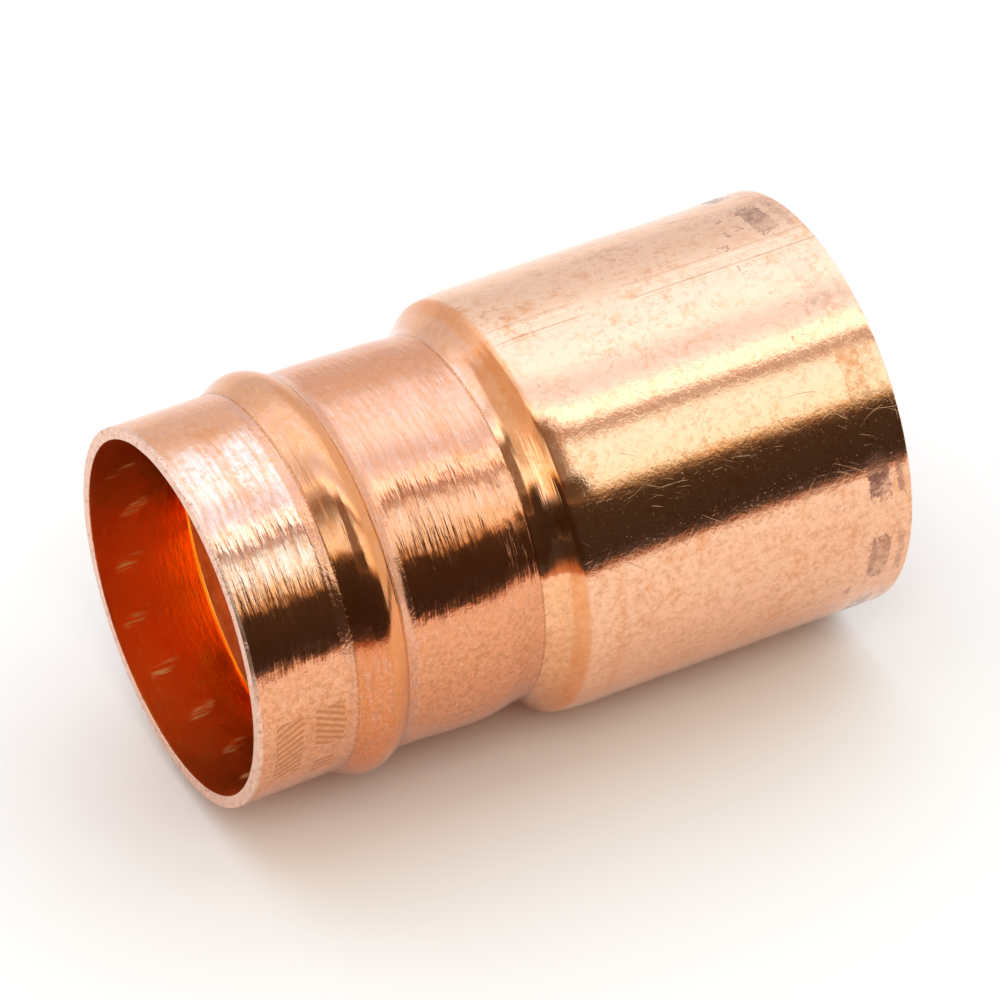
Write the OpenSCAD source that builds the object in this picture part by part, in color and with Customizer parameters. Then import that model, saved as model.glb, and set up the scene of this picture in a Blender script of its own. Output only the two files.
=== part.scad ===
// Concentric reducer for copper pipe, with a ring of solder already in its socket.
// The wide end is a plain spigot that slips into a larger fitting. The narrow end is
// a socket for the smaller tube, and the bead rolled round it holds the solder ring.
// Both ends share the X axis: the socket mouth is at X = 0 and the spigot runs to +X.

/* [Ends] */
// Outside diameter of the spigot, a standard tube size
spigot_d = 42; // [40:0.5:48]
// Diameter of the tube that slides into the socket
tube_d = 35; // [30:0.5:37]
// Gap all round between that tube and the socket
tube_gap = 0.08; // [0.03:0.01:0.15]
// Thickness of the copper
wall = 1.2; // [1:0.05:1.5]

/* [Lengths] */
// Socket mouth to spigot end
overall_length = 68.6; // [60:0.2:80]
// How far the tube goes in before it meets the stop
socket_depth = 27; // [25:0.5:27.5]
// Where the neck ends and the shoulder begins
neck_end = 30; // [29.5:0.5:32]
// Length of the steep part of the shoulder
shoulder_run = 4; // [3:0.5:6]
// Length over which the shoulder rounds off into the spigot
round_off_run = 3; // [2:0.5:5]

/* [Bead and solder] */
// Distance from the mouth to the middle of the bead
bead_middle = 13.4; // [12:0.2:15]
// Width of the bead where it leaves the socket wall
bead_width = 6.8; // [6.4:0.2:8]
// How far the bead stands out of the socket
bead_height = 1.22; // [1:0.02:1.6]
// Width of the solder groove inside the bead
groove_width = 6; // [5:0.2:6.2]
// Depth of the solder groove
groove_depth = 1.1; // [0.8:0.05:1.15]
// How far the solder lies below the socket wall, clear of the tube
solder_recess = 0.04; // [0.02:0.01:0.1]
// Opening between the two ends of the solder wire
solder_gap = 0.8; // [0.4:0.1:2]

/* [Forming] */
// How far the neck draws in to make the tube stop
stop_step = 0.36; // [0.2:0.02:0.5]
// How far ahead of the stop the outside of the neck starts to draw in
draw_in_lead = 2; // [1:0.5:4]
// Drop from the spigot to the edge at the top of the shoulder
round_off_drop = 0.25; // [0.1:0.05:0.5]
// Size of the broken edge at both ends
edge_break = 0.2; // [0.1:0.05:0.3]

/* [Hidden] */
// Sides in one turn of a round surface
turn_sides = 180;
// Straight pieces in one rounded stretch of the outline
curve_steps = 14;
spigot_r = spigot_d / 2;
socket_r = tube_d / 2 + tube_gap;
socket_outer_r = socket_r + wall;
stop_r = socket_r - stop_step;
neck_outer_r = stop_r + wall;
shoulder_end = neck_end + shoulder_run;
spigot_start = shoulder_end + round_off_run;
shoulder_top_r = spigot_r - round_off_drop;
// The inside of the shoulder follows the outside, shifted along by about half a wall
inner_shift = wall / 2;
solder_r = socket_r + solder_recess;

// Rises smoothly from 0 to 1 as t goes from 0 to 1
function ease(t) = (1 - cos(180 * t)) / 2;

// Outline points are [radius, distance from the mouth]
function ramp(s0, r0, s1, r1) =
    [for (i = [0 : curve_steps]) let (t = i / curve_steps)
        [r0 + (r1 - r0) * ease(t), s0 + (s1 - s0) * t]];

// A rounded ridge that leaves the wall and comes back to it without a corner
function ridge(middle, width, base_r, height) =
    [for (i = [0 : 2 * curve_steps]) let (t = i / (2 * curve_steps))
        [base_r + height * ease(2 * t), middle + width * (t - 0.5)]];

// A half ellipse hollowed out of the wall
function hollow(middle, width, base_r, depth) =
    [for (i = [0 : 2 * curve_steps]) let (a = 180 * i / (2 * curve_steps))
        [base_r + depth * sin(a), middle - width / 2 * cos(a)]];

function backwards(points) = [for (i = [len(points) - 1 : -1 : 0]) points[i]];

outside = concat(
    [[socket_outer_r - edge_break, 0], [socket_outer_r, edge_break]],
    ridge(bead_middle, bead_width, socket_outer_r, bead_height),
    ramp(socket_depth - draw_in_lead, socket_outer_r, neck_end, neck_outer_r),
    ramp(neck_end, neck_outer_r, shoulder_end, shoulder_top_r),
    [[spigot_r, spigot_start]],
    [[spigot_r, overall_length - edge_break], [spigot_r - edge_break, overall_length]]
);

inside = concat(
    [[socket_r + edge_break, 0], [socket_r, edge_break]],
    hollow(bead_middle, groove_width, socket_r, groove_depth),
    ramp(socket_depth, socket_r, neck_end, stop_r),
    ramp(neck_end + inner_shift, stop_r, shoulder_end + inner_shift, shoulder_top_r - wall),
    [[spigot_r - wall, spigot_start + inner_shift]],
    [[spigot_r - wall, overall_length - edge_break]],
    [[spigot_r - wall + edge_break, overall_length]]
);

// Turns an outline round the X axis
module spin_on_x() {
    rotate([0, 90, 0]) rotate_extrude($fn = turn_sides) children();
}

module groove_outline() {
    polygon(hollow(bead_middle, groove_width, socket_r, groove_depth));
}

// Drawn copper tube, formed in one piece with its bead, tube stop and shoulder
module copper_body() {
    color([0.80, 0.48, 0.34]) spin_on_x() polygon(concat(outside, backwards(inside)));
}

// Solder wire rolled into the groove, with its two ends left a little apart at the top
module solder_ring() {
    color([0.72, 0.70, 0.66]) difference() {
        spin_on_x() intersection() {
            groove_outline();
            translate([solder_r, 0]) square([groove_depth, overall_length]);
        }
        translate([bead_middle - groove_width, -solder_gap / 2, 0])
            cube([2 * groove_width, solder_gap, 2 * spigot_r]);
    }
}

copper_body();
solder_ring();
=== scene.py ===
from math import radians

import bpy
import numpy as np
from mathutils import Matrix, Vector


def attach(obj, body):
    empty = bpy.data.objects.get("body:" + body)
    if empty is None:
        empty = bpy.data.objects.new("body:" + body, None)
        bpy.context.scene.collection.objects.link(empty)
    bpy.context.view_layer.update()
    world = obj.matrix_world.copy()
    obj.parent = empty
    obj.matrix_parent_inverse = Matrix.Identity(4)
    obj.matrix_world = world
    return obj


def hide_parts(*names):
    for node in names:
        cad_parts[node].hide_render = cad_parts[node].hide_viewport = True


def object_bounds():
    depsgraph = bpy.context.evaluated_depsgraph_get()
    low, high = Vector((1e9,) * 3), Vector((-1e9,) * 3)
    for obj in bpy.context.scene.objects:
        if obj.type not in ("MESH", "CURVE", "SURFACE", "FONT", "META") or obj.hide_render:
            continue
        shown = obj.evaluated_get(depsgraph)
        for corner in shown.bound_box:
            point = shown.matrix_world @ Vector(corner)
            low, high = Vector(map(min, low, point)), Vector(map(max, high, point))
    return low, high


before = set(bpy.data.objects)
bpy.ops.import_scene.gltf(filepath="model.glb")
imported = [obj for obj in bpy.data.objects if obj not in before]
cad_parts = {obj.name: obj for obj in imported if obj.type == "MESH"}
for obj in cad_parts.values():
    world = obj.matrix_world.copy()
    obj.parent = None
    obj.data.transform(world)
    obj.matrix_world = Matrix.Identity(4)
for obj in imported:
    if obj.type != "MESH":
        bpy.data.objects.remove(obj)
CAD_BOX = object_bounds()

MM = 0.001

# Sizes of the fitting in millimetres, measured along the axis from the socket mouth.
# The length and the spigot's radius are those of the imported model, to a tenth of a millimetre.
LENGTH = round(float(CAD_BOX[1][0]) / MM, 1)
SPIGOT_R = round(-float(CAD_BOX[0][2]) / MM, 1)
SOCKET_BORE_R = 17.58
WALL = 1.2
SOCKET_R = SOCKET_BORE_R + WALL
STOP_R = 17.22
NECK_R = STOP_R + WALL
BEAD_MIDDLE = 13.4
BEAD_WIDTH = 6.5
BEAD_HEIGHT = 1.22
BEAD_FULLNESS = 0.75
BEAD_LEFT_CREASE = 10.4
BEAD_RIGHT_CREASE = 15.45
GROOVE_WIDTH = 6.0
GROOVE_DEPTH = 1.1
DRAW_IN_START = 26.0
STOP_START = 27.0
NECK_END = 30.0
NECK_CREASE = NECK_END + 0.15
SHOULDER_END = 34.0
SHOULDER_BEND_R = 2.6
SHOULDER_SLOPE = radians(42.5)
SPIGOT_START = 37.0
EDGE_BREAK = 0.07
CREASES = (BEAD_LEFT_CREASE, BEAD_RIGHT_CREASE, NECK_CREASE)
CREASE_WIDTH = 0.5
CREASE_DEPTH = 0.05
# The wall swells a little between the bead and the neck.
SWELL_MIDDLE = 23.0
SWELL_WIDTH = 11.0
SWELL_HEIGHT = 0.06
# The cone of the shoulder meets a spigot that has begun to drop, over a tight round.
CORNER_START = 33.2
CORNER_DROP = 0.32
CORNER_BLEND = 0.22
# The bore follows the shoulder in two soft steps, about half a wall further along.
BORE_SHIFT = WALL / 2
BORE_LAST_RISE = 0.25

# Rows of points over the end of the wall: an arc at each edge and a flat between them.
ARC_ROWS = 5
FLAT_ROWS = 3
# Steps round the wall in degrees, finer where the panels are pressed in.
COARSE_TURN = 1.45
FINE_TURN = 0.4

# Angles are degrees about +X: 0 points along +Y, 90 straight up, 180 to the front.
# Faults of a drawn and rolled tube, in mm off a perfect turn: the side that each is on, and
# where it lies along X, as a middle and a width or as the start and end of a fade.
TOP_FLAT = 0.09
TOP_FLAT_SIDE = 45.0
TOP_FLAT_PLACE = (61.0, 22.0)
MOUTH_OVAL = 0.17
MOUTH_OVAL_SIDE = 245.0
MOUTH_OVAL_FADE = (1.0, 10.0)
NECK_OFFSET = 0.2
NECK_OFFSET_SIDE = 225.0
NECK_OFFSET_PLACE = (24.8, 13.0)
RIPPLE = 0.010
RIPPLE_PER_RADIAN = 2.3
ROLL_WANDER = 0.022
ROLLED_BEAD_PLACE = (BEAD_MIDDLE, 5.0)
ROLLED_SHOULDER_PLACE = (32.6, 5.0)
EDGE_NICKS = 0.018
EDGE_NICKS_FADE = (0.0, 0.5)

# Plain hatched panels on the socket: (range along X, range of angles, slant of the hatching).
PANELS = (
    ((1.9, 4.6), (178.5, 202.5), 0.55),
    ((6.0, 8.9), (178.0, 193.5), -0.55),
    ((6.2, 8.2), (201.0, 208.5), 0.0),
)
# The panels all lie between these angles, where the mesh is finer.
FINE_ANGLES = (174.0, 214.0)
PANEL_DEPTH = 0.10
HATCH_HEIGHT = 0.08
HATCH_PITCH = 0.85
# The jaws of the sizing tool left 20 dents round the inside of the mouth, not quite in line.
JAW_STEP = 18.0
JAW_START = 13.0
JAW_SEAM = JAW_START - JAW_STEP / 2
JAW_X = 4.1
JAW_SCATTER = 1.5
JAW_SCATTER_TURN = 1.05
JAW_SCATTER_START = 14.0
DENT_WIDTH = 2.4
DENT_LENGTH = 1.7
DENT_SLANT = 0.7
DENT_DEPTH = 0.05

# The ring of solder spread a little past the edges of its groove. Its ends almost meet on top.
# Angles in degrees, lengths and depths in mm, shares of the width of its face.
WIRE_HALF_GAP = 1.3
WIRE_STEPS = 620
WIRE_SPREAD = 0.55
WIRE_RAGGED = 0.16
WIRE_LIFT = 0.022
WIRE_EDGE_SHARE = 0.20
WIRE_EDGE_DEPTH = 0.032
WIRE_CROWN = 0.006
WIRE_WAVES = 0.003
WIRE_FACE_SHARES = (
    0.0, 0.015, 0.05, 0.12, 0.20, 0.35, 0.5, 0.65, 0.80, 0.88, 0.95, 0.985, 1.0)
WIRE_BACK_STEPS = 12
WIRE_SIDE_GAP = 0.05
WIRE_BACK_GAP = 0.03

# Material slots of the copper wall.
OUTSIDE, INSIDE, RIM = range(3)


# ---------------------------------------------------------------- shape helpers

def ease(start, end, value):
    """Rises smoothly from 0 at start to 1 at end."""
    t = np.clip((value - start) / (end - start), 0.0, 1.0)
    return (1 - np.cos(np.pi * t)) / 2


def bump(middle, width, value):
    """A smooth hump, 1 at middle and 0 half a width away."""
    t = np.clip(2 * (value - middle) / width, -1.0, 1.0)
    return (1 + np.cos(np.pi * t)) / 2


def periodic_noise(angle, seed, waves, falloff=1.0):
    """A repeatable wavy line round the circle, about -1 to 1. waves lists its counts per turn."""
    rng = np.random.default_rng(seed)
    total = np.zeros_like(angle)
    for count in waves:
        size = rng.uniform(0.5, 1.0) / (1 + falloff * np.log(count))
        total += size * np.sin(np.radians(count * angle) + rng.uniform(0, 2 * np.pi))
    return total / len(waves) ** 0.5


def notch(middle, width, value):
    """A narrow V, 1 at middle and 0 half a width away."""
    return np.clip(1 - np.abs(value - middle) * 2 / width, 0.0, 1.0)


def shoulder_rise(s):
    """A bend out of the neck, a straight cone, and a tight round where it meets the spigot."""
    run = np.clip(s - NECK_END, 0.0, None)
    bend_run = SHOULDER_BEND_R * np.sin(SHOULDER_SLOPE)
    bend = SHOULDER_BEND_R - np.sqrt(SHOULDER_BEND_R ** 2 - np.minimum(run, bend_run) ** 2)
    cone = bend + np.clip(run - bend_run, 0.0, None) * np.tan(SHOULDER_SLOPE)
    to_go = np.clip((SPIGOT_START - s) / (SPIGOT_START - CORNER_START), 0.0, 1.0)
    spigot = SPIGOT_R - CORNER_DROP * to_go ** 2 - NECK_R
    share = np.clip(0.5 + 0.5 * (spigot - cone) / CORNER_BLEND, 0.0, 1.0)
    return cone * share + spigot * (1 - share) - CORNER_BLEND * share * (1 - share)


def outside_radius(s):
    """The outside of the wall before its small faults."""
    radius = SOCKET_R + BEAD_HEIGHT * bump(BEAD_MIDDLE, BEAD_WIDTH, s) ** BEAD_FULLNESS
    for crease in CREASES:
        radius = radius - CREASE_DEPTH * notch(crease, CREASE_WIDTH, s)
    radius = radius + SWELL_HEIGHT * bump(SWELL_MIDDLE, SWELL_WIDTH, s)
    radius = radius - (SOCKET_R - NECK_R) * ease(DRAW_IN_START, NECK_END, s)
    return radius + shoulder_rise(s)


def inside_radius(s):
    """The bore before its small faults: groove, tube stop, shoulder and spigot."""
    across = np.clip((s - BEAD_MIDDLE) / (GROOVE_WIDTH / 2), -1.0, 1.0)
    radius = SOCKET_BORE_R + GROOVE_DEPTH * np.sqrt(1 - across ** 2)
    radius = radius - (SOCKET_BORE_R - STOP_R) * ease(STOP_START, NECK_END, s)
    first_rise = SPIGOT_R - WALL - BORE_LAST_RISE - STOP_R
    radius = radius + first_rise * ease(NECK_END + BORE_SHIFT, SHOULDER_END + BORE_SHIFT, s)
    return radius + BORE_LAST_RISE * ease(SHOULDER_END, SPIGOT_START + BORE_SHIFT, s)


def spaced(*spans):
    """Stations along the axis. Each span is (start, end, step), and they meet end to end."""
    values = []
    for start, end, step in spans:
        count = max(1, round((end - start) / step))
        values.extend(np.linspace(start, end, count, endpoint=False))
    values.append(spans[-1][1])
    return np.array(values)


def rounded_rim(inner_r, outer_r, at, facing):
    """Points over the end of the wall at x = at, from the bore to the outside."""
    low, high = [], []
    for t in np.radians(np.linspace(0, 90, ARC_ROWS)):
        much, little = EDGE_BREAK * (1 - np.sin(t)), EDGE_BREAK * (1 - np.cos(t))
        low.append((at - facing * much, inner_r + little))
        high.append((at - facing * little, outer_r - much))
    flat_step = (outer_r - inner_r) / (FLAT_ROWS + 1)
    middle = [(at, inner_r + flat_step * k) for k in range(1, FLAT_ROWS + 1)]
    return low + middle + high


def body_outline():
    """The closed outline of the wall as (x, radius), and where each part of it starts."""
    outside_x = spaced(
        (0.4, 1.4, 0.25), (1.4, 9.4, 0.20), (9.4, 10.0, 0.15), (10.0, 10.8, 0.08),
        (10.8, 15.1, 0.20), (15.1, 15.9, 0.08), (15.9, 17.4, 0.25), (17.4, 29.0, 0.70),
        (29.0, 30.5, 0.10), (30.5, 33.2, 0.25), (33.2, 34.6, 0.12), (34.6, 37.4, 0.35),
        (37.4, 68.2, 1.20))
    inside_x = spaced(
        (0.4, 10.2, 0.50), (10.2, 16.6, 0.40), (16.6, 26.5, 1.00), (26.5, 38.0, 0.50),
        (38.0, 68.2, 1.80))[::-1]
    mouth = rounded_rim(SOCKET_BORE_R, SOCKET_R, 0.0, -1)
    end = rounded_rim(SPIGOT_R - WALL, SPIGOT_R, LENGTH, 1)[::-1]
    points = mouth + list(zip(outside_x, outside_radius(outside_x)))
    points += end + list(zip(inside_x, inside_radius(inside_x)))
    marks = np.cumsum([len(mouth), len(outside_x), len(end)])
    return np.array(points), marks


def body_angles():
    """Angles once round the wall, close together across the panels."""
    fine_start, fine_end = FINE_ANGLES
    coarse = np.arange(fine_end, fine_start + 360.0, COARSE_TURN)
    fine = np.arange(fine_start, fine_end, FINE_TURN)
    return np.concatenate([coarse, fine]) % 360.0


def panel(s, angle, s_range, angle_range, soft_s=0.16, soft_angle=0.7):
    """1 inside a rectangle drawn on the wall, falling to 0 across its soft edge."""
    along = ease(s_range[0] - soft_s, s_range[0] + soft_s, s)
    along = along * (1 - ease(s_range[1] - soft_s, s_range[1] + soft_s, s))
    around = ease(angle_range[0] - soft_angle, angle_range[0] + soft_angle, angle)
    around = around * (1 - ease(angle_range[1] - soft_angle, angle_range[1] + soft_angle, angle))
    return along * around


def stamped_panels(s, angle):
    """Depth in mm of the plain hatched panels pressed into the socket. They spell nothing."""
    depth = 0.0
    arc = np.radians(angle) * SOCKET_R
    for s_range, angle_range, slant in PANELS:
        inside = panel(s, angle, s_range, angle_range)
        hatch = 0.5 + 0.5 * np.sin(2 * np.pi * (arc + slant * s) / HATCH_PITCH)
        depth = depth + inside * (PANEL_DEPTH - HATCH_HEIGHT * hatch)
    return depth


def jaw_dents(s, angle):
    """Depth in mm of the ring of small dents inside the socket."""
    turn = (angle - JAW_SEAM) % 360.0 + JAW_SEAM
    jaw = np.round((turn - JAW_START) / JAW_STEP)
    across = (turn - JAW_START - jaw * JAW_STEP) / DENT_WIDTH
    middle = JAW_X + JAW_SCATTER * np.cos(JAW_SCATTER_TURN * (jaw - JAW_SCATTER_START))
    along = (s - middle) / DENT_LENGTH
    return DENT_DEPTH * np.exp(-(across - DENT_SLANT * along) ** 2 - along ** 2)


def toward(direction, angle):
    """1 at that direction, 0 a quarter turn away from it and -1 on the far side."""
    return np.cos(np.radians(angle - direction))


def shape_body(s, radius, angle, is_outside):
    """Moves the wall off a perfect turn, by the small faults of a drawn and rolled tube."""
    top_flat = TOP_FLAT * np.clip(toward(TOP_FLAT_SIDE, angle), 0.0, 1.0)
    top_flat = top_flat * bump(*TOP_FLAT_PLACE, s)
    mouth_oval = MOUTH_OVAL * np.clip(toward(MOUTH_OVAL_SIDE, angle), 0.0, 1.0)
    mouth_oval = mouth_oval * (1 - ease(*MOUTH_OVAL_FADE, s))
    neck_offset = NECK_OFFSET * toward(NECK_OFFSET_SIDE, angle) * bump(*NECK_OFFSET_PLACE, s)
    radius = radius - top_flat + mouth_oval + neck_offset
    ripple = periodic_noise(angle, 11, (3, 5, 7, 11))
    radius = radius + RIPPLE * ripple * np.sin(s / RIPPLE_PER_RADIAN + np.radians(angle))
    wander = periodic_noise(angle, 12, (5, 9, 16, 27)) * bump(*ROLLED_BEAD_PLACE, s)
    wander = wander + periodic_noise(angle, 13, (4, 7, 13, 24)) * bump(*ROLLED_SHOULDER_PLACE, s)
    nicks = periodic_noise(angle, 14, (17, 29, 47, 71)) * (1 - ease(*EDGE_NICKS_FADE, s))
    radius = radius + EDGE_NICKS * nicks
    outside_only = ROLL_WANDER * wander - stamped_panels(s, angle)
    return radius + np.where(is_outside, outside_only, jaw_dents(s, angle))


# ---------------------------------------------------------------- mesh helpers

def mesh_from_grid(name, grid, close_around=True, close_across=True):
    """Makes a mesh of quads from a grid of points: rows across the section, columns around."""
    rows, columns, _ = grid.shape
    row = np.arange(rows if close_across else rows - 1)
    column = np.arange(columns if close_around else columns - 1)
    i, j = np.meshgrid(row, column, indexing="ij")
    i2, j2 = (i + 1) % rows, (j + 1) % columns
    quads = np.stack([i * columns + j, i * columns + j2, i2 * columns + j2, i2 * columns + j], -1)
    faces = [tuple(q) for q in quads.reshape(-1, 4).tolist()]
    if not close_around:
        faces.append(tuple(k * columns for k in range(rows)))
        faces.append(tuple(k * columns + columns - 1 for k in reversed(range(rows))))
    mesh = bpy.data.meshes.new(name)
    mesh.from_pydata(grid.reshape(-1, 3).tolist(), [], faces)
    mesh.update()
    piece = bpy.data.objects.new(name, mesh)
    bpy.context.scene.collection.objects.link(piece)
    mesh.polygons.foreach_set("use_smooth", np.ones(len(mesh.polygons), dtype=bool))
    return piece


def turned_points(s, radius, angle):
    """Points in metres at s along the axis, radius away from it and angle degrees round it."""
    turn = np.radians(angle)
    return np.stack([s, radius * np.cos(turn), radius * np.sin(turn)], -1) * MM


def make_body():
    """The copper wall as one closed skin. Each face carries the material of its side."""
    points, (outside_start, end_start, inside_start) = body_outline()
    row = np.arange(len(points))
    is_outside = (row >= ARC_ROWS + FLAT_ROWS) & (row < end_start + ARC_ROWS)
    s, angle = np.meshgrid(points[:, 0], body_angles(), indexing="ij")
    radius = shape_body(s, points[:, 1:], angle, is_outside[:, None])
    body = mesh_from_grid("copper_shell", turned_points(s, radius, angle))
    side = np.full(len(points), OUTSIDE, dtype=np.int32)
    side[row < outside_start] = RIM
    side[row >= end_start] = RIM
    side[row >= inside_start] = INSIDE
    body.data.polygons.foreach_set("material_index", np.repeat(side, angle.shape[1]))
    return body


def solder_face(angle):
    """Rows across the bare face of the solder, ragged where it spread over its groove's edges."""
    left_ragged = periodic_noise(angle, 5, (23, 41, 67, 97, 131), 0.1)
    right_ragged = periodic_noise(angle, 6, (19, 37, 61, 89), 0.1)
    reach = GROOVE_WIDTH / 2 + WIRE_SPREAD
    left = BEAD_MIDDLE - reach + WIRE_RAGGED * left_ragged
    right = BEAD_MIDDLE + reach + WIRE_RAGGED * right_ragged
    rows = []
    for k, share in enumerate(WIRE_FACE_SHARES):
        to_edge = min(share, 1 - share, WIRE_EDGE_SHARE) / WIRE_EDGE_SHARE
        depth = WIRE_EDGE_DEPTH * (1 - to_edge) - WIRE_CROWN * np.sin(np.pi * share)
        waves = WIRE_WAVES * periodic_noise(angle, 20 + k, (9, 17, 31))
        rows.append((left + (right - left) * share, SOCKET_BORE_R - WIRE_LIFT + depth + waves))
    return rows


def solder_back(angle):
    """Rows over the back of the solder, which fills the groove."""
    rows = []
    for k in range(1, WIRE_BACK_STEPS):
        turn = np.pi * k / WIRE_BACK_STEPS
        s = BEAD_MIDDLE + (GROOVE_WIDTH / 2 - WIRE_SIDE_GAP) * np.cos(turn)
        radius = SOCKET_BORE_R + (GROOVE_DEPTH - WIRE_BACK_GAP) * np.sin(turn)
        rows.append((np.full_like(angle, s), np.full_like(angle, radius)))
    return rows


def make_solder():
    """The ring of solder, open by a small gap at the top."""
    angle = np.linspace(90 + WIRE_HALF_GAP, 450 - WIRE_HALF_GAP, WIRE_STEPS)
    rows = solder_face(angle) + solder_back(angle)
    s, radius = (np.stack(part) for part in zip(*rows))
    grid = turned_points(s, radius, np.broadcast_to(angle, s.shape))
    return mesh_from_grid("solder_wire", grid[::-1], close_around=False)


# ---------------------------------------------------------------- material helpers

class Nodes:
    """Short calls that add shader nodes to a tree. A value may be a number or a socket."""

    def __init__(self, tree):
        self.tree = tree
        self.tree.nodes.clear()

    def link(self, value, socket):
        if isinstance(value, bpy.types.NodeSocket):
            self.tree.links.new(value, socket)
        else:
            socket.default_value = value

    def vector(self, operation, a, b=None, scale=None):
        node = self.tree.nodes.new("ShaderNodeVectorMath")
        node.operation = operation
        self.link(a, node.inputs[0])
        if b is not None:
            self.link(b, node.inputs[1])
        if scale is not None:
            self.link(scale, node.inputs["Scale"])
        return node.outputs["Value" if operation == "DOT_PRODUCT" else 0]

    def split(self, vector):
        node = self.tree.nodes.new("ShaderNodeSeparateXYZ")
        self.link(vector, node.inputs[0])
        return tuple(node.outputs)

    def join(self, x, y, z):
        node = self.tree.nodes.new("ShaderNodeCombineXYZ")
        for value, socket in zip((x, y, z), node.inputs):
            self.link(value, socket)
        return node.outputs[0]

    def math(self, operation, a, b=0.0):
        node = self.tree.nodes.new("ShaderNodeMath")
        node.operation = operation
        for value, socket in zip((a, b), node.inputs):
            self.link(value, socket)
        return node.outputs[0]

    def add(self, *values):
        total = values[0]
        for value in values[1:]:
            total = self.math("ADD", total, value)
        return total

    def times(self, *values):
        product = values[0]
        for value in values[1:]:
            product = self.math("MULTIPLY", product, value)
        return product

    def rest(self, share):
        """What is left of 1."""
        return self.math("SUBTRACT", 1.0, share)

    def either(self, *values):
        largest = values[0]
        for value in values[1:]:
            largest = self.math("MAXIMUM", largest, value)
        return largest

    def noise(self, vector, scale, detail=3.0, roughness=0.55, distortion=0.0):
        """Cloudy noise from 0 to 1, with scale lumps to each unit of the vector."""
        node = self.tree.nodes.new("ShaderNodeTexNoise")
        self.link(vector, node.inputs["Vector"])
        node.inputs["Scale"].default_value = scale
        node.inputs["Detail"].default_value = detail
        node.inputs["Roughness"].default_value = roughness
        node.inputs["Distortion"].default_value = distortion
        return node.outputs["Fac"]

    def step(self, value, low, high):
        """0 below low, 1 above high, smooth between. With low above high it falls instead."""
        node = self.tree.nodes.new("ShaderNodeMapRange")
        node.interpolation_type = "SMOOTHSTEP"
        self.link(value, node.inputs["Value"])
        node.inputs["From Min"].default_value = low
        node.inputs["From Max"].default_value = high
        return node.outputs["Result"]

    def between(self, value, low, high, soft):
        """1 between low and high, falling to 0 over soft on each side."""
        return self.times(self.step(value, low - soft, low), self.step(value, high + soft, high))

    def mix(self, share, a, b):
        node = self.tree.nodes.new("ShaderNodeMix")
        node.data_type = "RGBA"
        self.link(share, node.inputs[0])
        self.link(a, node.inputs[6])
        self.link(b, node.inputs[7])
        return node.outputs[2]


class Shade(Nodes):
    """Builds one material. Lengths inside it are millimetres."""

    def __init__(self, name):
        self.material = bpy.data.materials.new(name)
        self.material.use_nodes = True
        super().__init__(self.material.node_tree)
        output = self.tree.nodes.new("ShaderNodeOutputMaterial")
        self.shader = self.tree.nodes.new("ShaderNodeBsdfPrincipled")
        self.tree.links.new(self.shader.outputs[0], output.inputs["Surface"])
        coords = self.tree.nodes.new("ShaderNodeTexCoord").outputs["Object"]
        self.place = self.vector("SCALE", coords, scale=1 / MM)
        self.x, self.y, self.z = self.split(self.place)

    def stretched(self, along, across, shift=0.0):
        """Object coordinates scaled along the axis and across it, for lines and streaks."""
        x = self.add(self.times(self.x, along), shift)
        return self.join(x, self.times(self.y, across), self.times(self.z, across))

    def around(self, seam):
        """The angle about the axis in degrees, from seam to seam + 360."""
        turn = radians(seam)
        cos_t, sin_t = float(np.cos(turn)), float(np.sin(turn))
        away_y = self.add(self.times(self.y, cos_t), self.times(self.z, sin_t))
        away_z = self.add(self.times(self.z, cos_t), self.times(self.y, -sin_t))
        flipped = self.math("ARCTAN2", self.times(away_z, -1.0), self.times(away_y, -1.0))
        return self.add(self.times(flipped, 180 / float(np.pi)), 180.0 + seam)

    def finish(self, color, roughness, height=None, **sockets):
        self.link(color, self.shader.inputs["Base Color"])
        self.link(roughness, self.shader.inputs["Roughness"])
        for name, value in sockets.items():
            self.shader.inputs[name.replace("_", " ")].default_value = value
        if height is not None:
            node = self.tree.nodes.new("ShaderNodeBump")
            node.inputs["Distance"].default_value = MM
            self.link(height, node.inputs["Height"])
            self.tree.links.new(node.outputs[0], self.shader.inputs["Normal"])
        return self.material


def rgb(r, g, b):
    """A colour with full alpha."""
    return (r, g, b, 1.0)


COPPER = rgb(0.940, 0.560, 0.360)
# Painted shade and light: darker copies for the lower sides, and a darker top and lighter lower
# side on the shoulder.
COPPER_SHADED_LOW = rgb(0.905, 0.495, 0.310)
COPPER_SOCKET = rgb(0.865, 0.390, 0.200)
COPPER_NECK = rgb(0.800, 0.325, 0.160)
COPPER_ROLLED = rgb(0.810, 0.365, 0.175)
COPPER_ROLLED_SHADED_LOW = rgb(0.740, 0.235, 0.080)
SHOULDER_SHADED_TOP = rgb(0.810, 0.395, 0.230)
SHOULDER_LIT_LOW = rgb(0.940, 0.490, 0.260)
# Pale copper for the painted highlight band and for the light hair lines.
POLISH_AND_HIGHLIGHT = rgb(0.960, 0.720, 0.600)
DUSTY = rgb(0.720, 0.380, 0.300)
TARNISH = rgb(0.700, 0.310, 0.160)
ORANGE = rgb(0.780, 0.290, 0.100)
PIT = rgb(0.400, 0.170, 0.090)
OXIDE = rgb(0.210, 0.080, 0.065)
# Brown used for stains and for the painted shade in the creases.
STAIN_AND_SHADE = rgb(0.560, 0.220, 0.090)

# One degree in radians.
DEGREE = float(np.pi) / 180.0

# Looks of the outside wall: places along X in mm, angles in degrees.
OUTSIDE_SEAM = -60.0
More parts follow.
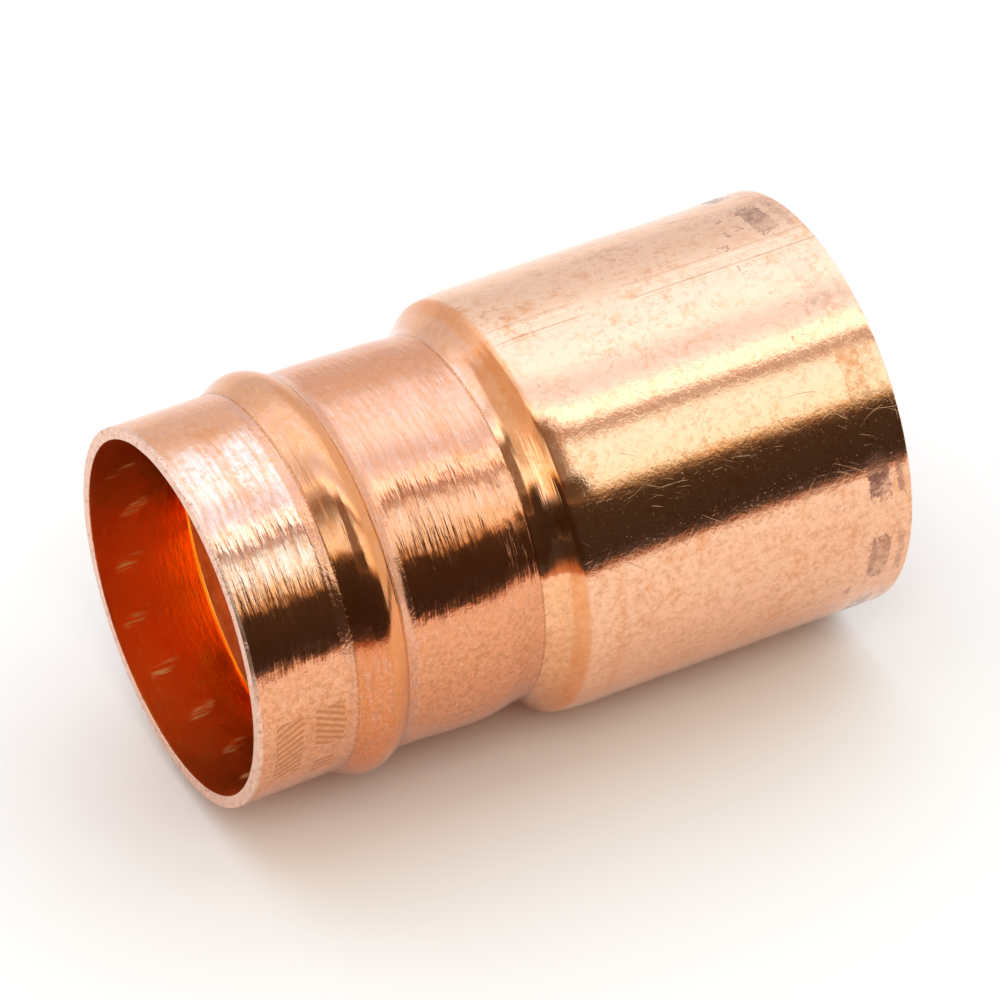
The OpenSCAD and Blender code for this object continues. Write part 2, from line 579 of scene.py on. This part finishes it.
# The radius at which the wall is unrolled.
ARC_R = 20.0
BRUSHED_FADE = (29.8, 31.2)
SPIGOT_FADE = (33.0, 34.0)
SKIN_FADE = (33.0, 35.0)
PITTED_STRIPS = ((9.4, 10.3), (15.6, 16.8))
NECK_START = 17.2
LOWER_SIDE = (150.0, 176.0)
BEAD_LOWER_SIDE = (135.0, 165.0)
SHOULDER_LOWER_SIDE = (92.0, 125.0)
STAINED_SIDE = (140.0, 170.0)
# Painted highlight: the band of angles over the upper front that is lightened.
HIGHLIGHT_BAND = (90.0, 132.0)
BEAD_RIGHT_FLANK = (13.9, 15.3)
SHOULDER_TOP_EDGE = (32.7, 33.6)
SHOULDER_STAIN = (36.8, 37.2)
# Scratches over the unrolled wall: (direction, its own place in the noise).
SCRATCHES = ((8.0, 3.1), (33.0, 11.7), (-20.0, 37.9), (84.0, 23.3), (-52.0, 51.2))
# Angles of the two lines that the drawing die left along the spigot.
DRAWN_SHARP_LINE = (93.8, 94.6)
DRAWN_SOFT_LINE = (88.6, 89.4)
# The tool that gripped the fitting left 13 marks round it, in two rows.
GRIP_COUNT = 13.0
GRIP_ANGLE = 78.5
GRIP_ROW = (64.2, 66.3)
GRIP_THIN_ROW = (67.3, 67.8)
GRIP_WORN = (96.0, 118.0)
# Painted reflection: angles where the grip marks are painted orange, under the bright band of
# light.
GRIP_LIT_BAND = (124.0, 143.0)
GRIP_SPOTS = (59.0, 63.5)

# Inside colours. The shaded and lit oranges are painted shade near the mouth and painted light
# further in.
SOCKET_SHADED_ORANGE = rgb(0.985, 0.260, 0.035)
SOCKET_LIT_ORANGE = rgb(0.995, 0.500, 0.095)
SOCKET_CLOUD = rgb(0.940, 0.190, 0.030)
SOCKET_PATCH = rgb(0.950, 0.165, 0.015)
SOCKET_STREAK = rgb(0.985, 0.420, 0.110)
JAW_GLINT = rgb(1.000, 0.720, 0.330)
RIM_PALE = rgb(0.90, 0.60, 0.46)
RIM_BROWN = rgb(0.78, 0.42, 0.29)
RIM_NICK = rgb(0.46, 0.20, 0.11)
# Solder colours, tinted orange as a painted reflection of the copper round it.
SOLDER_PALE = rgb(0.88, 0.54, 0.33)
SOLDER_BROWN = rgb(0.74, 0.38, 0.21)
BOARD_LOW = rgb(0.915, 0.870, 0.820)
BOARD_HIGH = rgb(0.930, 0.885, 0.835)
CLOTH_LOW = rgb(0.030, 0.020, 0.015)
CLOTH_HIGH = rgb(0.050, 0.035, 0.025)
CLOTH_FOOT = rgb(0.62, 0.27, 0.13)


class OutsideWall(Shade):
    """The outside of the copper, with the zones and noises that several of its looks share."""

    def __init__(self):
        super().__init__("copper_outside")
        self.angle = self.around(OUTSIDE_SEAM)
        self.arc = self.times(self.angle, DEGREE * ARC_R)
        self.fine = self.noise(self.place, 2.6, 4.0, 0.6)
        self.wobble = self.add(self.fine, -0.5)
        self.wavy_x = self.add(self.x, self.times(self.wobble, 0.5))
        self.wavy_angle = self.add(self.angle, self.times(self.wobble, 8.0))
        self.mark_zones()
        self.draw_lines()
        self.scatter_spots()

    def mark_zones(self):
        """Each zone is 1 inside its bounds and falls softly to 0 outside them."""
        left, right = BEAD_LEFT_CREASE + 0.1, BEAD_RIGHT_CREASE - 0.1
        self.on_spigot = self.step(self.wavy_x, *SPIGOT_FADE)
        self.brushed = self.rest(self.step(self.x, *BRUSHED_FADE))
        self.bead = self.between(self.wavy_x, left, right, 0.3)
        self.shoulder = self.between(self.x, NECK_END + 0.4, CORNER_START, 0.4)
        self.strip = self.either(*(self.between(self.wavy_x, *at, 0.25) for at in PITTED_STRIPS))
        self.neck = self.between(self.x, NECK_START, NECK_END, 1.0)
        self.low = self.step(self.wavy_angle, *LOWER_SIDE)

    def draw_lines(self):
        """Lines left round the wall by the polishing cloth and by the rolling tool."""
        self.long_lines = self.noise(self.stretched(1.9, 0.20), 1.0, 2.0, 0.5)
        self.short_lines = self.noise(self.stretched(4.2, 0.55, 40.0), 1.0, 3.0, 0.6)
        hair_lines = self.noise(self.stretched(9.0, 0.8, 60.0), 1.0, 2.0, 0.6)
        self.light_lines = self.step(hair_lines, 0.56, 0.72)
        self.rolled_lines = self.noise(self.stretched(2.4, 0.12, 80.0), 1.0, 3.0, 0.5)

    def scatter_spots(self):
        """Wide clouds, fine pebbling, and the specks and blots of the tarnish."""
        self.clouds = self.step(self.noise(self.place, 0.13, 3.0, 0.6), 0.40, 0.66)
        self.pebbles = self.noise(self.place, 3.0, 3.0, 0.6)
        self.speckle = self.step(self.noise(self.place, 1.3, 5.0, 0.75), 0.48, 0.66)
        self.blots = self.step(self.noise(self.place, 0.45, 5.0, 0.70), 0.50, 0.66)


def scratches(m, bend, degrees, seed):
    """Fine scratches that run one way over the unrolled wall, 1 on a scratch."""
    cos_t, sin_t = float(np.cos(radians(degrees))), float(np.sin(radians(degrees)))
    along = m.add(m.times(m.x, cos_t), m.times(m.arc, sin_t))
    across = m.add(m.times(m.x, -sin_t), m.times(m.arc, cos_t), bend)
    lines = m.noise(m.join(m.times(along, 0.13), m.times(across, 6.0), seed), 1.0, 2.0, 0.5)
    return m.step(lines, 0.66, 0.82)


def drawn_skin(m):
    """Height in mm of the spigot's smooth skin: scratches, flecks and two drawing lines."""
    bend = m.times(m.noise(m.place, 0.15, 1.0), 2.0)
    marks = m.either(*(scratches(m, bend, *way) for way in SCRATCHES))
    marks = m.times(marks, m.step(m.noise(m.place, 0.30, 2.0), 0.40, 0.60))
    flecks = m.step(m.noise(m.place, 3.4, 3.0, 0.7), 0.62, 0.76)
    sharp_line = m.between(m.angle, *DRAWN_SHARP_LINE, 0.5)
    soft_line = m.times(m.between(m.angle, *DRAWN_SOFT_LINE, 0.9), 0.5)
    broken = m.step(m.noise(m.stretched(0.12, 0.0, 5.0), 1.0, 2.0), 0.38, 0.50)
    drawn = m.times(m.add(sharp_line, soft_line), broken)
    grain = m.add(m.times(m.fine, 0.011), m.times(m.noise(m.place, 0.7, 2.0), 0.012))
    return m.add(grain, m.times(marks, -0.008), m.times(flecks, -0.006), m.times(drawn, 0.045))


def outside_height(m):
    """Height in mm: brushed lines on the socket and neck, pebbling, and the spigot's skin."""
    worn = m.add(0.65, m.times(m.clouds, 0.7))
    lines = m.times(m.add(m.times(m.long_lines, 0.072), m.times(m.short_lines, 0.026)), worn)
    height = m.times(lines, m.brushed, m.rest(m.times(m.bead, 0.70)))
    pebbled = m.either(m.strip, m.times(m.low, m.brushed, 0.7))
    rolled = m.either(m.shoulder, m.bead)
    height = m.add(
        height, m.times(m.pebbles, pebbled, 0.03), m.times(m.rolled_lines, rolled, 0.022))
    return m.add(height, m.times(drawn_skin(m), m.step(m.x, *SKIN_FADE)))


def zone_colors(m):
    """The colour of each zone: spigot, socket, neck, rolled bead and shoulder, with painted shade
    on the lower side of the spigot and bead, and painted shade on top of the shoulder with painted
    light lower down.
    """
    # Painted shade: the lower side is darker on the spigot and bead; the shoulder is darker on top
    # and lighter lower down.
    color = m.mix(m.times(m.low, 0.8), COPPER, COPPER_SHADED_LOW)
    color = m.mix(m.rest(m.on_spigot), color, COPPER_SOCKET)
    color = m.mix(m.neck, color, COPPER_NECK)
    rolled = m.mix(
        m.step(m.wavy_angle, *BEAD_LOWER_SIDE), COPPER_ROLLED, COPPER_ROLLED_SHADED_LOW)
    color = m.mix(m.bead, color, rolled)
    cone = m.mix(m.step(m.wavy_angle, *SHOULDER_LOWER_SIDE), SHOULDER_SHADED_TOP, SHOULDER_LIT_LOW)
    return m.mix(m.times(m.shoulder, 0.9), color, cone)


def highlight_and_dust(m, color):
    """A painted highlight lightens the upper front of the socket and neck, with dusty and light
    lines.
    """
    # Painted highlight: a band over the upper front is lightened, less on the neck.
    highlight_mask = m.times(m.between(m.wavy_angle, *HIGHLIGHT_BAND, 7.0), m.brushed)
    highlight_mask = m.times(highlight_mask, m.rest(m.bead), m.rest(m.strip))
    in_lines = m.add(0.25, m.times(m.step(m.long_lines, 0.35, 0.65), 0.6))
    color = m.mix(m.times(highlight_mask, in_lines, m.rest(m.times(m.neck, 0.70))), color, POLISH_AND_HIGHLIGHT)
    dusty_lines = m.times(m.brushed, m.step(m.short_lines, 0.44, 0.66))
    dusty_lines = m.times(dusty_lines, m.add(0.35, m.times(m.neck, -0.22)))
    dusty_pebbles = m.times(m.strip, m.step(m.pebbles, 0.35, 0.60), 0.6)
    color = m.mix(m.either(dusty_lines, dusty_pebbles), color, DUSTY)
    return m.mix(m.times(m.light_lines, m.brushed, 0.35), color, POLISH_AND_HIGHLIGHT)


def tarnished(m, color):
    """Soft clouds of tarnish broken into specks and blots, and a few dark pits."""
    color = m.mix(m.times(m.speckle, m.add(m.times(m.clouds, 0.50), 0.30)), color, TARNISH)
    color = m.mix(m.times(m.blots, m.add(m.times(m.clouds, 0.35), 0.22)), color, ORANGE)
    pits = m.step(m.noise(m.place, 2.1, 3.0, 0.6), 0.68, 0.73)
    return m.mix(m.times(pits, 0.55), color, PIT)


def low_side_patches(m, color):
    """Darker brown patches on the lower side, lighter smears over them, and orange stain on the
    rolled edges.
    """
    low_patches = m.times(m.step(m.noise(m.place, 1.7, 5.0, 0.8), 0.44, 0.62), m.low)
    color = m.mix(m.times(low_patches, m.add(0.40, m.times(m.brushed, 0.35))), color, STAIN_AND_SHADE)
    smears = m.noise(m.stretched(1.2, 2.4, 90.0), 1.0, 4.0, 0.75)
    lighter_smears = m.times(m.step(smears, 0.54, 0.68), m.low)
    color = m.mix(m.times(lighter_smears, 0.40), color, COPPER)
    right_flank = m.between(m.wavy_x, *BEAD_RIGHT_FLANK, 0.5)
    shoulder_edge = m.between(m.wavy_x, *SHOULDER_TOP_EDGE, 0.5)
    edges = m.times(m.either(right_flank, shoulder_edge), m.add(0.55, m.times(m.blots, 0.4)))
    return m.mix(edges, color, ORANGE)


def grip_oxide(m):
    """Two rows of dull marks near the end, where the fitting was gripped, and a few spots."""
    turned = m.add(m.angle, m.times(m.wobble, 14.0), -GRIP_ANGLE)
    wave = m.math("COSINE", m.times(turned, GRIP_COUNT * DEGREE))
    ragged_x = m.add(m.x, m.times(m.wobble, 1.3))
    thin_row = m.times(m.between(ragged_x, *GRIP_THIN_ROW, 0.2), 0.6)
    rows = m.either(m.between(ragged_x, *GRIP_ROW, 0.15), thin_row)
    strength = m.step(m.noise(m.join(m.times(m.arc, 0.16), 3.0, 7.0), 1.0, 2.0), 0.36, 0.60)
    grain = m.step(m.noise(m.place, 0.9, 5.0, 0.75), 0.36, 0.60)
    grip = m.times(rows, m.step(wave, -0.25, 0.05), m.add(m.times(strength, 0.55), 0.45))
    grip = m.times(grip, m.add(m.times(grain, 0.70), 0.30))
    worn_off = m.times(m.between(m.angle, *GRIP_WORN, 3.0), m.add(0.45, m.times(m.fine, 0.6)))
    specks = m.step(m.noise(m.place, 0.60, 4.0, 0.7), 0.62, 0.68)
    spots = m.times(m.between(m.wavy_x, *GRIP_SPOTS, 1.5), specks)
    return m.either(m.times(grip, m.rest(worn_off)), m.times(spots, 0.55))


def gripped(m, color, oxide):
    """The grip marks are dark oxide; over one stretch of the front they are painted thinner and
    orange, a painted reflection of the bright band of light there.
    """
    # Painted reflection: thinner, orange marks under the bright band of light.
    lit_band = m.between(m.angle, *GRIP_LIT_BAND, 3.0)
    share = m.times(oxide, m.add(0.92, m.times(lit_band, -0.35)))
    return m.mix(share, color, m.mix(lit_band, OXIDE, ORANGE))


def stain_and_crease_shade(m, color):
    """Stain round the end of the shoulder, and painted shade in the rolled creases."""
    ring = m.times(m.between(m.wavy_x, *SHOULDER_STAIN, 0.6), m.step(m.angle, *STAINED_SIDE))
    ring = m.times(ring, m.step(m.fine, 0.36, 0.56))
    # Painted shade: the rolled creases are darkened.
    crease = m.either(*(m.between(m.x, at - 0.06, at + 0.06, 0.10) for at in CREASES))
    color = m.mix(m.times(ring, 0.40), color, ORANGE)
    return m.mix(m.times(crease, m.step(m.fine, 0.30, 0.55), 0.85), color, STAIN_AND_SHADE)


def hatched(m, color):
    """The hatched panels on the socket are dull along their grooves."""
    for s_range, angle_range, slant in PANELS:
        inside = m.times(m.between(m.x, *s_range, 0.12), m.between(m.angle, *angle_range, 0.5))
        turn = m.add(m.times(m.angle, DEGREE * SOCKET_R), m.times(m.x, slant))
        hatch = m.math("SINE", m.times(turn, 2 * float(np.pi) / HATCH_PITCH))
        groove = m.step(hatch, 0.4, -0.4)
        color = m.mix(m.times(inside, m.add(0.20, m.times(groove, 0.70))), color, STAIN_AND_SHADE)
    return color


def outside_roughness(m, oxide):
    """Bright metal, duller in the pitted strips, along the lines and under the oxide."""
    rough = m.add(0.07, m.times(m.strip, 0.05), m.times(m.brushed, 0.02), m.times(oxide, 0.20))
    haze = m.step(m.noise(m.place, 0.55, 5.0, 0.75), 0.38, 0.66)
    in_lines = m.times(m.light_lines, m.brushed, 0.05)
    return m.add(rough, m.times(m.speckle, 0.05), in_lines, m.times(haze, 0.03))


def copper_outside():
    """The outside of the copper, from its plain zones to its stains, with painted highlight and
    shade.
    """
    m = OutsideWall()
    oxide = grip_oxide(m)
    color = highlight_and_dust(m, zone_colors(m))
    color = low_side_patches(m, tarnished(m, color))
    color = gripped(m, color, oxide)
    color = hatched(m, stain_and_crease_shade(m, color))
    return m.finish(color, outside_roughness(m, oxide), outside_height(m), Metallic=1.0)


def jaw_glints(m):
    """1 in the dents of the sizing jaws, broken into streaks, where the painted glint goes."""
    angle = m.around(JAW_SEAM)
    jaw = m.math("ROUND", m.times(m.add(angle, -JAW_START), 1 / JAW_STEP))
    across = m.times(m.add(angle, -JAW_START, m.times(jaw, -JAW_STEP)), 1 / DENT_WIDTH)
    scatter = m.math("COSINE", m.times(m.add(jaw, -JAW_SCATTER_START), JAW_SCATTER_TURN))
    along = m.times(m.add(m.x, -JAW_X, m.times(scatter, -JAW_SCATTER)), 1 / DENT_LENGTH)
    slanted = m.add(across, m.times(along, -DENT_SLANT))
    distance = m.add(m.times(slanted, slanted), m.times(along, along))
    worn = m.step(m.noise(m.stretched(0.45, 3.2), 1.0, 2.0, 0.5), 0.40, 0.62)
    return m.times(m.step(distance, 1.3, 0.1), worn)


def copper_inside():
    """The bore: deep orange, mottled, painted darker near the mouth and lighter further in, with
    painted glints on the marks of the sizing jaws near the mouth.
    """
    m = Shade("copper_inside")
    lines = m.noise(m.stretched(2.5, 0.4), 1.0, 3.0, 0.6)
    clouds = m.step(m.noise(m.place, 0.26, 5.0, 0.65), 0.40, 0.64)
    patches = m.step(m.noise(m.place, 0.11, 4.0, 0.60, 0.6), 0.44, 0.60)
    # Painted shade near the mouth and painted light further in: darker near the mouth, brighter
    # further in.
    deep = m.step(m.add(m.x, m.times(clouds, 1.8)), 5.4, 9.0)
    color = m.mix(deep, SOCKET_SHADED_ORANGE, SOCKET_LIT_ORANGE)
    color = m.mix(m.times(clouds, m.add(0.45, m.times(deep, -0.20))), color, SOCKET_CLOUD)
    color = m.mix(m.times(patches, m.add(0.50, m.times(deep, -0.35))), color, SOCKET_PATCH)
    streaks = m.times(m.step(lines, 0.50, 0.72), m.rest(deep))
    color = m.mix(m.times(streaks, 0.35), color, SOCKET_STREAK)
    highlight_mask = jaw_glints(m)
    # Painted glint on the jaw marks, which are also rougher.
    color = m.mix(m.times(highlight_mask, 0.95), color, JAW_GLINT)
    rough = m.add(m.times(clouds, 0.05), m.times(highlight_mask, 0.20), m.times(deep, -0.21), 0.30)
    return m.finish(color, rough, m.times(lines, 0.014), Metallic=1.0)


def copper_rim():
    """The cut ends of the wall, dull and nicked."""
    m = Shade("copper_rim")
    grain = m.noise(m.place, 1.6, 4.0, 0.7)
    nicks = m.step(m.noise(m.place, 1.3, 3.0, 0.7), 0.56, 0.68)
    color = m.mix(m.step(grain, 0.35, 0.70), RIM_PALE, RIM_BROWN)
    color = m.mix(m.times(nicks, 0.7), color, RIM_NICK)
    rough = m.add(m.times(grain, 0.15), 0.22)
    return m.finish(color, rough, m.add(m.times(grain, 0.05), m.times(nicks, -0.05)), Metallic=1.0)


def solder_metal():
    """Smeared solder, coloured orange-tan as a painted reflection of the copper round it."""
    m = Shade("solder_metal")
    grain = m.noise(m.place, 2.4, 4.0, 0.7)
    smear = m.noise(m.stretched(0.8, 0.3), 1.0, 3.0, 0.6)
    color = m.mix(m.step(smear, 0.4, 0.65), SOLDER_PALE, SOLDER_BROWN)
    rough = m.add(m.times(grain, 0.2), 0.26)
    return m.finish(color, rough, m.add(m.times(grain, 0.02), m.times(smear, 0.03)), Metallic=1.0)


def floor_board():
    """A pale board without gloss."""
    m = Shade("pale_board")
    grain = m.noise(m.place, 0.02, 4.0, 0.5)
    color = m.mix(grain, BOARD_LOW, BOARD_HIGH)
    return m.finish(color, 0.9, Metallic=0.0, Specular_IOR_Level=0.0)


def screen_cloth():
    """Dark cloth with a brown foot."""
    m = Shade("screen_cloth")
    weave = m.noise(m.place, 0.5, 2.0, 0.5)
    color = m.mix(weave, CLOTH_LOW, CLOTH_HIGH)
    foot = m.step(m.add(m.z, m.times(weave, 4.0)), -3.0, -17.0)
    return m.finish(m.mix(foot, color, CLOTH_FOOT), 0.9)


# ---------------------------------------------------------------- studio

# The board lies just clear of the spigot.
FLOOR_GAP = 0.03
FLOOR_Z = -(SPIGOT_R + FLOOR_GAP) * MM
FLOOR_RINGS = (0.02, 0.1, 0.3, 0.7, 1.5, 3.0)
FLOOR_SIDES = 64
SCREEN_TOP = 0.009
SCREEN_CORNER = (-0.058, -0.215)
FRONT_SCREEN_END = (1.2, -0.215)
LEFT_SCREEN_END = (-0.058, -0.030)

# The studio's light by direction, in degrees about X, from behind (0) over the top (90) to the
# front (180), at half its strength. Long soft lights run parallel to X.
SKY = (
    (-180, (0.020, 0.014, 0.010)), (-172, (0.30, 0.28, 0.25)), (-90, (0.42, 0.41, 0.40)),
    (-10, (0.42, 0.44, 0.46)), (20, (0.45, 0.48, 0.52)), (34, (0.50, 0.56, 0.62)),
    (46, (0.64, 0.74, 0.88)), (60, (0.66, 0.80, 0.98)), (74, (0.70, 0.86, 1.00)),
    (89, (0.52, 0.58, 0.68)), (98, (0.62, 0.71, 0.84)), (101, (0.95, 1.00, 1.00)),
    (109.5, (0.98, 1.00, 1.00)), (111, (0.31, 0.26, 0.235)), (117, (0.32, 0.26, 0.23)),
    (119, (0.62, 0.68, 0.64)), (124, (0.66, 0.78, 0.80)), (143, (0.66, 0.75, 0.68)),
    (146, (0.47, 0.33, 0.15)), (149, (0.08, 0.05, 0.03)), (153, (0.034, 0.022, 0.014)),
    (179, (0.024, 0.016, 0.011)),
)
SKY_STRENGTH = 2.0
LIGHT_LEAN = 14.0
LEAN_PIVOT = 0.355
LEFT_PANEL = rgb(1.0, 1.0, 1.0)
LEFT_WALL = rgb(0.42, 0.36, 0.28)
RIGHT_PANEL = rgb(0.50, 0.52, 0.51)
DARK_SPOT = rgb(0.050, 0.034, 0.022)
BROWN_EDGE = rgb(0.300, 0.170, 0.085)
SPOT_DIRECTION = (-0.478, -0.193, 0.857)
SPOT_EDGE = (0.975, 0.995)
# Edges of the panels and dark shapes, from none to full, along x or z of the direction or in
# degrees as above. The left wall lies between two angles.
RIGHT_PANEL_X = (0.66, 0.84)
LEFT_PANEL_X = (-0.865, -0.90)
LEFT_PANEL_Z = (0.20, 0.28)
LEFT_WALL_X = (-0.42, -0.62)
LEFT_WALL_TURN = (40.0, 112.0)
TALL_SHAPE_X = (0.24, 0.15)
TALL_SHAPE_TOP = (98.0, 106.0)
WIDE_SHAPE_X = (0.39, 0.34)
WIDE_SHAPE_TOP = (132.0, 137.0)
WIDE_SHAPE_SLANT = -0.0065
WIDE_SHAPE_PIVOT = 152.0
SHAPES_LEFT_X = (-0.44, -0.32)
SHAPES_FOOT = (149.0, 146.0)

CAMERA_AZIMUTH = radians(-28.09)
CAMERA_ELEVATION = radians(40.99)
CAMERA_DISTANCE = 0.642
CAMERA_AIM = (34.3, -1.7, 1.9)
CAMERA_LENS = 242.24
CAMERA_SENSOR = 36.0
LAMP_PLACE = (-0.10, -0.55, 0.75)
LAMP_TURN = (radians(36), 0.0, radians(-13))
LAMP_COLOR = (1.0, 0.93, 0.86)
LAMP_WIDTH = 0.6
LAMP_WATTS = 2.5


def studio_mesh(name, points, faces, material):
    """A mesh of the studio, which is no part of the fitting."""
    mesh = bpy.data.meshes.new(name)
    mesh.from_pydata(points, [], faces)
    mesh.materials.append(material)
    thing = bpy.data.objects.new(name, mesh)
    bpy.context.scene.collection.objects.link(thing)
    return thing


def make_floor():
    """A wide plain board under the fitting, in rings so that it stays smooth at any size."""
    turn = np.radians(np.linspace(0, 360, FLOOR_SIDES, endpoint=False))
    centre = LENGTH / 2 * MM
    points = [(centre, 0.0, FLOOR_Z)]
    for ring in FLOOR_RINGS:
        for cos_t, sin_t in zip(np.cos(turn), np.sin(turn)):
            points.append((centre + ring * cos_t, ring * sin_t, FLOOR_Z))
    faces = [(0, 1 + k, 1 + (k + 1) % FLOOR_SIDES) for k in range(FLOOR_SIDES)]
    for ring in range(len(FLOOR_RINGS) - 1):
        start = 1 + ring * FLOOR_SIDES
        outer = start + FLOOR_SIDES
        for k in range(FLOOR_SIDES):
            n = (k + 1) % FLOOR_SIDES
            faces.append((start + k, outer + k, outer + n, start + n))
    floor = studio_mesh("studio_floor", points, faces, floor_board())


def make_dark_screen(name, start, end):
    """A low dark screen standing on the board. Only the copper's reflections see it."""
    (x0, y0), (x1, y1) = start, end
    points = [
        (x0, y0, FLOOR_Z), (x1, y1, FLOOR_Z), (x1, y1, SCREEN_TOP), (x0, y0, SCREEN_TOP)]
    screen = studio_mesh(name, points, [(0, 1, 2, 3)], screen_cloth())
    screen.visible_camera = False
    screen.visible_diffuse = False
    screen.visible_shadow = False


def sky_ramp(m, share):
    """The colour of the long lights at a share of a turn, read from SKY."""
    ramp = m.tree.nodes.new("ShaderNodeValToRGB")
    m.link(share, ramp.inputs[0])
    elements = ramp.color_ramp.elements
    while len(elements) < len(SKY):
        elements.new(0.5)
    for element, (degrees, color) in zip(elements, SKY):
        element.position = (degrees + 180) / 360
        element.color = rgb(*color)
    return ramp.outputs["Color"]


def front_shape(m, x, degrees):
    """A dark shape before the long lights: tall to the left, wide and slanted lower down."""
    tall = m.times(m.step(x, *TALL_SHAPE_X), m.step(degrees, *TALL_SHAPE_TOP), 0.8)
    slanted = m.add(x, m.times(m.add(degrees, -WIDE_SHAPE_PIVOT), WIDE_SHAPE_SLANT))
    wide = m.times(m.step(slanted, *WIDE_SHAPE_X), m.step(degrees, *WIDE_SHAPE_TOP))
    left, foot = m.step(x, *SHAPES_LEFT_X), m.step(degrees, *SHAPES_FOOT)
    return m.times(m.either(tall, wide), left, foot)


def studio_color(m):
    """The colour of the studio in each direction."""
    direction = m.tree.nodes.new("ShaderNodeTexCoord").outputs["Generated"]
    x, y, z = m.split(direction)
    turn = m.times(m.math("ARCTAN2", z, y), 0.5 / float(np.pi))
    degrees = m.times(turn, 360.0)
    # The long lights lean a little, so at the left end they are met sooner.
    lean = m.times(m.add(m.times(x, -1.0), LEAN_PIVOT), LIGHT_LEAN / 360.0, m.step(z, -0.05, 0.10))
    color = sky_ramp(m, m.add(turn, 0.5, lean))
    # A panel closes off each end, with a dimmer wall beside the left one.
    right = m.times(m.step(x, *RIGHT_PANEL_X), m.step(z, -0.05, 0.05))
    wall = m.times(m.step(x, *LEFT_WALL_X), m.between(degrees, *LEFT_WALL_TURN, 12.0), 0.9)
    left = m.times(m.step(x, *LEFT_PANEL_X), m.step(z, *LEFT_PANEL_Z))
    color = m.mix(right, color, RIGHT_PANEL)
    color = m.mix(wall, color, LEFT_WALL)
    color = m.mix(left, color, LEFT_PANEL)
    # Two dark shapes: a large one in front and a soft spot up to the left.
    front = front_shape(m, x, degrees)
    to_spot = m.vector("DOT_PRODUCT", direction, SPOT_DIRECTION)
    spot = m.times(m.step(to_spot, *SPOT_EDGE), 0.6)
    color = m.mix(front, color, BROWN_EDGE)
    return m.mix(m.either(spot, m.times(front, front, 0.95)), color, DARK_SPOT)


def light_the_studio():
    """Light from all round, coloured by direction."""
    world = bpy.data.worlds.new("studio")
    bpy.context.scene.world = world
    world.use_nodes = True
    m = Nodes(world.node_tree)
    output = m.tree.nodes.new("ShaderNodeOutputWorld")
    background = m.tree.nodes.new("ShaderNodeBackground")
    m.tree.links.new(background.outputs[0], output.inputs["Surface"])
    m.link(studio_color(m), background.inputs["Color"])
    background.inputs["Strength"].default_value = SKY_STRENGTH


def light_the_floor():
    """A soft lamp over the board, which makes it pale. The copper does not reflect the lamp."""
    data = bpy.data.lights.new("floor_lamp", "AREA")
    data.shape = "DISK"
    data.size = LAMP_WIDTH
    data.energy = LAMP_WATTS
    data.color = LAMP_COLOR
    lamp = bpy.data.objects.new("floor_lamp", data)
    lamp.location = LAMP_PLACE
    lamp.rotation_euler = LAMP_TURN
    lamp.visible_glossy = False
    lamp.visible_camera = False
    bpy.context.scene.collection.objects.link(lamp)


def place_camera():
    """Looks at the middle of the fitting from the front left, from well above."""
    level = np.cos(CAMERA_ELEVATION)
    ahead = np.array([
        -np.sin(CAMERA_AZIMUTH) * level,
        np.cos(CAMERA_AZIMUTH) * level,
        -np.sin(CAMERA_ELEVATION),
    ])
    data = bpy.data.cameras.new("camera")
    data.sensor_width = CAMERA_SENSOR
    data.lens = CAMERA_LENS
    data.clip_end = 20.0
    camera = bpy.data.objects.new("camera", data)
    camera.location = np.array(CAMERA_AIM) * MM - ahead * CAMERA_DISTANCE
    camera.rotation_euler = (radians(90) - CAMERA_ELEVATION, 0.0, CAMERA_AZIMUTH)
    bpy.context.scene.collection.objects.link(camera)
    bpy.context.scene.camera = camera


bpy.context.scene.view_settings.view_transform = "Standard"

body = make_body()
for material in (copper_outside(), copper_inside(), copper_rim()):
    body.data.materials.append(material)
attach(body, "root")
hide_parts("copper_body")

solder = make_solder()
solder.data.materials.append(solder_metal())
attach(solder, "root")
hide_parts("solder_ring")

make_floor()
make_dark_screen("front_screen", SCREEN_CORNER, FRONT_SCREEN_END)
make_dark_screen("left_screen", SCREEN_CORNER, LEFT_SCREEN_END)
light_the_studio()
light_the_floor()
place_camera()
